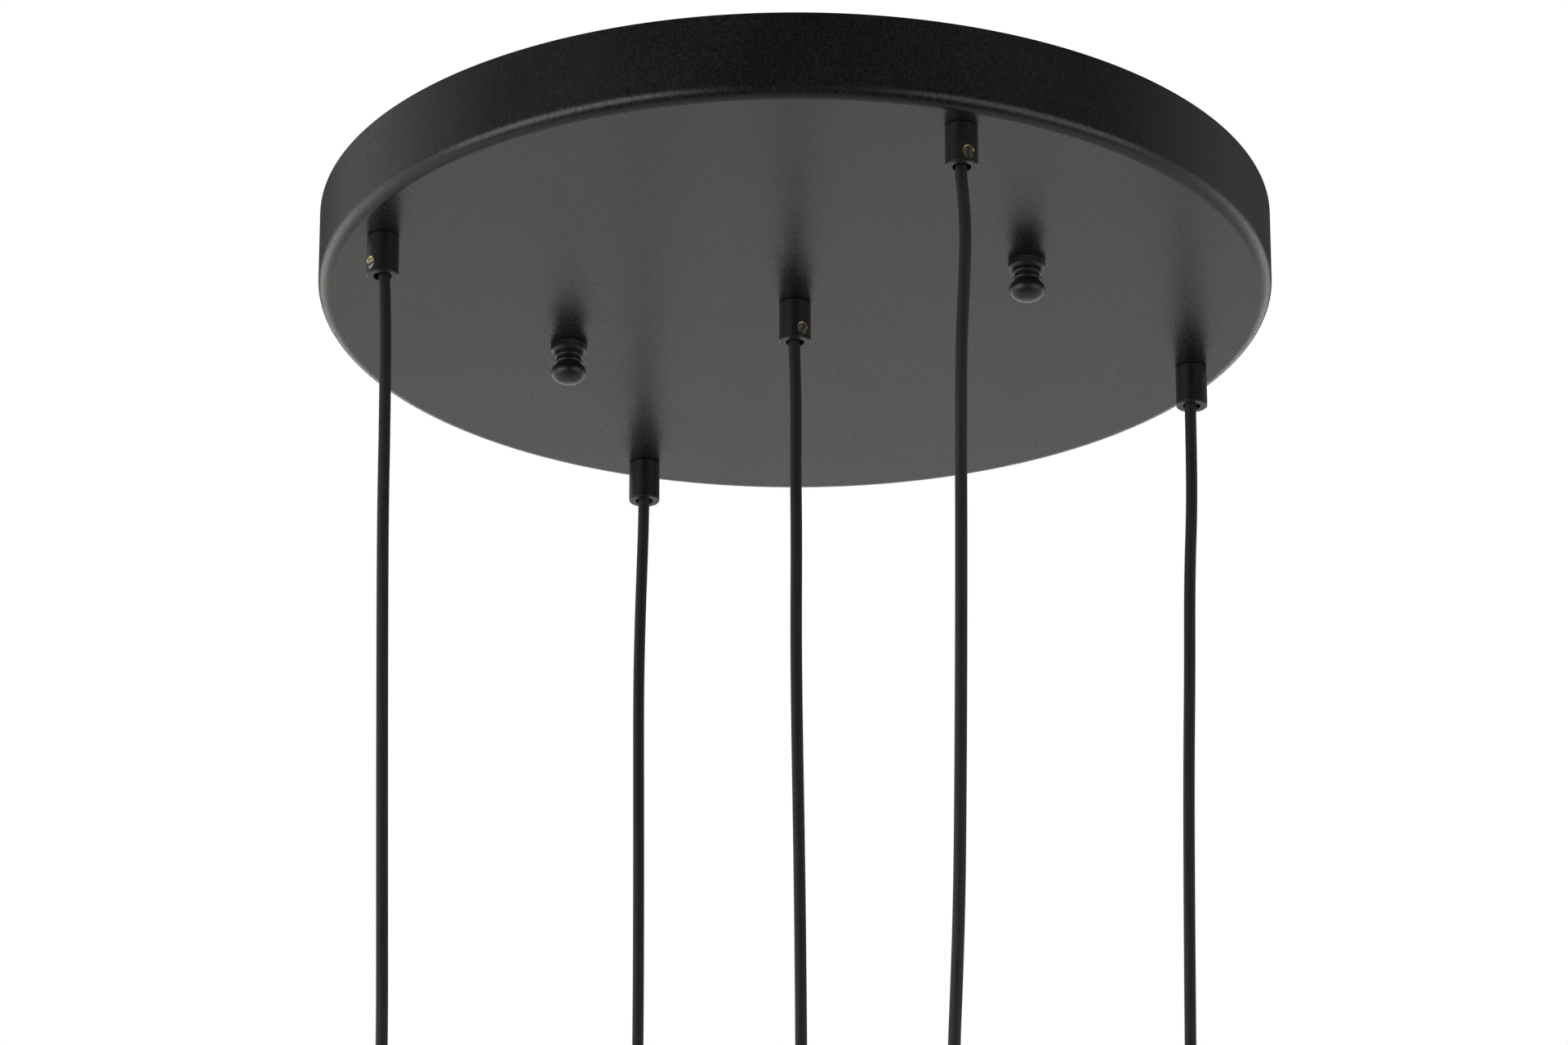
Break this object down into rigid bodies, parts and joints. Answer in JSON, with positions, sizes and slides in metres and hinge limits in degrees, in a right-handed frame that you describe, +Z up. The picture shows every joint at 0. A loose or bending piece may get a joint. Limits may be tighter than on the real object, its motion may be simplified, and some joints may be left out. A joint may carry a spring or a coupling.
{
  "type": "pendant chandelier",
  "caption": "Flat round ceiling canopy with cord grips and ball nuts, from which cords hang plumb with a lampholder and shade ring on each.",
  "frame": {"origin": "middle of the crossbar's upper face, where it meets the ceiling", "axes": "+Z up, away from the hanging cords; X along the crossbar, through both ball nuts"},
  "size_m": [0.45, 0.45, 0.5975],
  "materials": {
    "black_powder_coat": "matt powder coat on pressed steel",
    "black_turned_metal": "satin black lacquer on turned brass",
    "black_screw": "black oxide",
    "zinc_plate": "bright zinc plate",
    "green_screw": "green dyed zinc plate",
    "cord_jacket": "smooth black jacket",
    "live_sheath": "black wire insulation",
    "neutral_sheath": "white wire insulation",
    "earth_sheath": "green wire insulation",
    "connector_plastic": "moulded light grey",
    "gland_plastic": "moulded black",
    "black_holder_metal": "satin black",
    "insulator": "glazed white",
    "shell_brass": "bright",
    "ring_plastic": "moulded black"
  },
  "bodies": {
    "canopy": {"canopy_pan": "black_powder_coat", "crossbar": "zinc_plate", "canopy_studs": "zinc_plate", "stud_lock_nuts": "zinc_plate", "ground_screw": "green_screw", "cord_grip_1": "black_turned_metal", "cord_grip_2": "black_turned_metal", "cord_grip_3": "black_turned_metal", "cord_grip_4": "black_turned_metal", "cord_grip_5": "black_turned_metal", "grip_washers": "zinc_plate", "grip_lock_nuts": "zinc_plate", "grip_set_screws": "black_screw", "cord_tails": "cord_jacket", "live_wires": "live_sheath", "neutral_wires": "neutral_sheath", "earth_wires": "earth_sheath", "wire_connectors": "connector_plastic"},
    "left_nut": {"ball_nut_left": "black_turned_metal"},
    "right_nut": {"ball_nut_right": "black_turned_metal"},
    "pendant_1": {"cord_1": "cord_jacket", "cord_gland_1": "gland_plastic", "holder_cap_1": "black_holder_metal", "holder_cup_1": "black_holder_metal", "holder_core_1": "insulator", "screw_shell_1": "shell_brass", "centre_contact_1": "shell_brass"},
    "ring_1": {"shade_ring_1": "ring_plastic"},
    "pendant_2": {"cord_2": "cord_jacket", "cord_gland_2": "gland_plastic", "holder_cap_2": "black_holder_metal", "holder_cup_2": "black_holder_metal", "holder_core_2": "insulator", "screw_shell_2": "shell_brass", "centre_contact_2": "shell_brass"},
    "ring_2": {"shade_ring_2": "ring_plastic"},
    "pendant_3": {"cord_3": "cord_jacket", "cord_gland_3": "gland_plastic", "holder_cap_3": "black_holder_metal", "holder_cup_3": "black_holder_metal", "holder_core_3": "insulator", "screw_shell_3": "shell_brass", "centre_contact_3": "shell_brass"},
    "ring_3": {"shade_ring_3": "ring_plastic"},
    "pendant_4": {"cord_4": "cord_jacket", "cord_gland_4": "gland_plastic", "holder_cap_4": "black_holder_metal", "holder_cup_4": "black_holder_metal", "holder_core_4": "insulator", "screw_shell_4": "shell_brass", "centre_contact_4": "shell_brass"},
    "ring_4": {"shade_ring_4": "ring_plastic"},
    "pendant_5": {"cord_5": "cord_jacket", "cord_gland_5": "gland_plastic", "holder_cap_5": "black_holder_metal", "holder_cup_5": "black_holder_metal", "holder_core_5": "insulator", "screw_shell_5": "shell_brass", "centre_contact_5": "shell_brass"},
    "ring_5": {"shade_ring_5": "ring_plastic"}
  },
  "joints": [
    {"name": "ball_nut_left_spin", "type": "hinge", "parent": "canopy", "child": "left_nut", "pos_m": [-0.118, 0, -0.0405], "axis": [0, 0, 1], "continuous": true},
    {"name": "ball_nut_right_spin", "type": "hinge", "parent": "canopy", "child": "right_nut", "pos_m": [0.118, 0, -0.0405], "axis": [0, 0, 1], "continuous": true},
    {"name": "pendant_1_swing", "type": "hinge", "parent": "canopy", "child": "pendant_1", "pos_m": [0.14436, 0.14404, -0.0575], "axis": [0.5, 0.866, 0], "range_deg": [-8, 8]},
    {"name": "shade_ring_1_spin", "type": "hinge", "parent": "pendant_1", "child": "ring_1", "pos_m": [0.13676, 0.14404, -0.4355], "axis": [0, 0, 1], "continuous": true},
    {"name": "pendant_2_swing", "type": "hinge", "parent": "canopy", "child": "pendant_2", "pos_m": [-0.14466, 0.14393, -0.0575], "axis": [-0.1736, 0.9848, 0], "range_deg": [-8, 8]},
    {"name": "shade_ring_2_spin", "type": "hinge", "parent": "pendant_2", "child": "ring_2", "pos_m": [-0.14555, 0.14393, -0.4055], "axis": [0, 0, 1], "continuous": true},
    {"name": "pendant_3_swing", "type": "hinge", "parent": "canopy", "child": "pendant_3", "pos_m": [-0.14439, -0.14402, -0.0575], "axis": [-0.4695, -0.8829, 0], "range_deg": [-8, 8]},
    {"name": "shade_ring_3_spin", "type": "hinge", "parent": "pendant_3", "child": "ring_3", "pos_m": [-0.13661, -0.14402, -0.4655], "axis": [0, 0, 1], "continuous": true},
    {"name": "pendant_4_swing", "type": "hinge", "parent": "canopy", "child": "pendant_4", "pos_m": [0.14415, -0.14421, -0.0575], "axis": [0.7431, -0.6691, 0], "range_deg": [-8, 8]},
    {"name": "shade_ring_4_spin", "type": "hinge", "parent": "pendant_4", "child": "ring_4", "pos_m": [0.13656, -0.14421, -0.4955], "axis": [0, 0, 1], "continuous": true},
    {"name": "pendant_5_swing", "type": "hinge", "parent": "canopy", "child": "pendant_5", "pos_m": [-0.00074, 0.00052, -0.0575], "axis": [0.8192, -0.5736, 0], "range_deg": [-8, 8]},
    {"name": "shade_ring_5_spin", "type": "hinge", "parent": "pendant_5", "child": "ring_5", "pos_m": [0.00279, 0.00052, -0.5255], "axis": [0, 0, 1], "continuous": true}
  ]
}
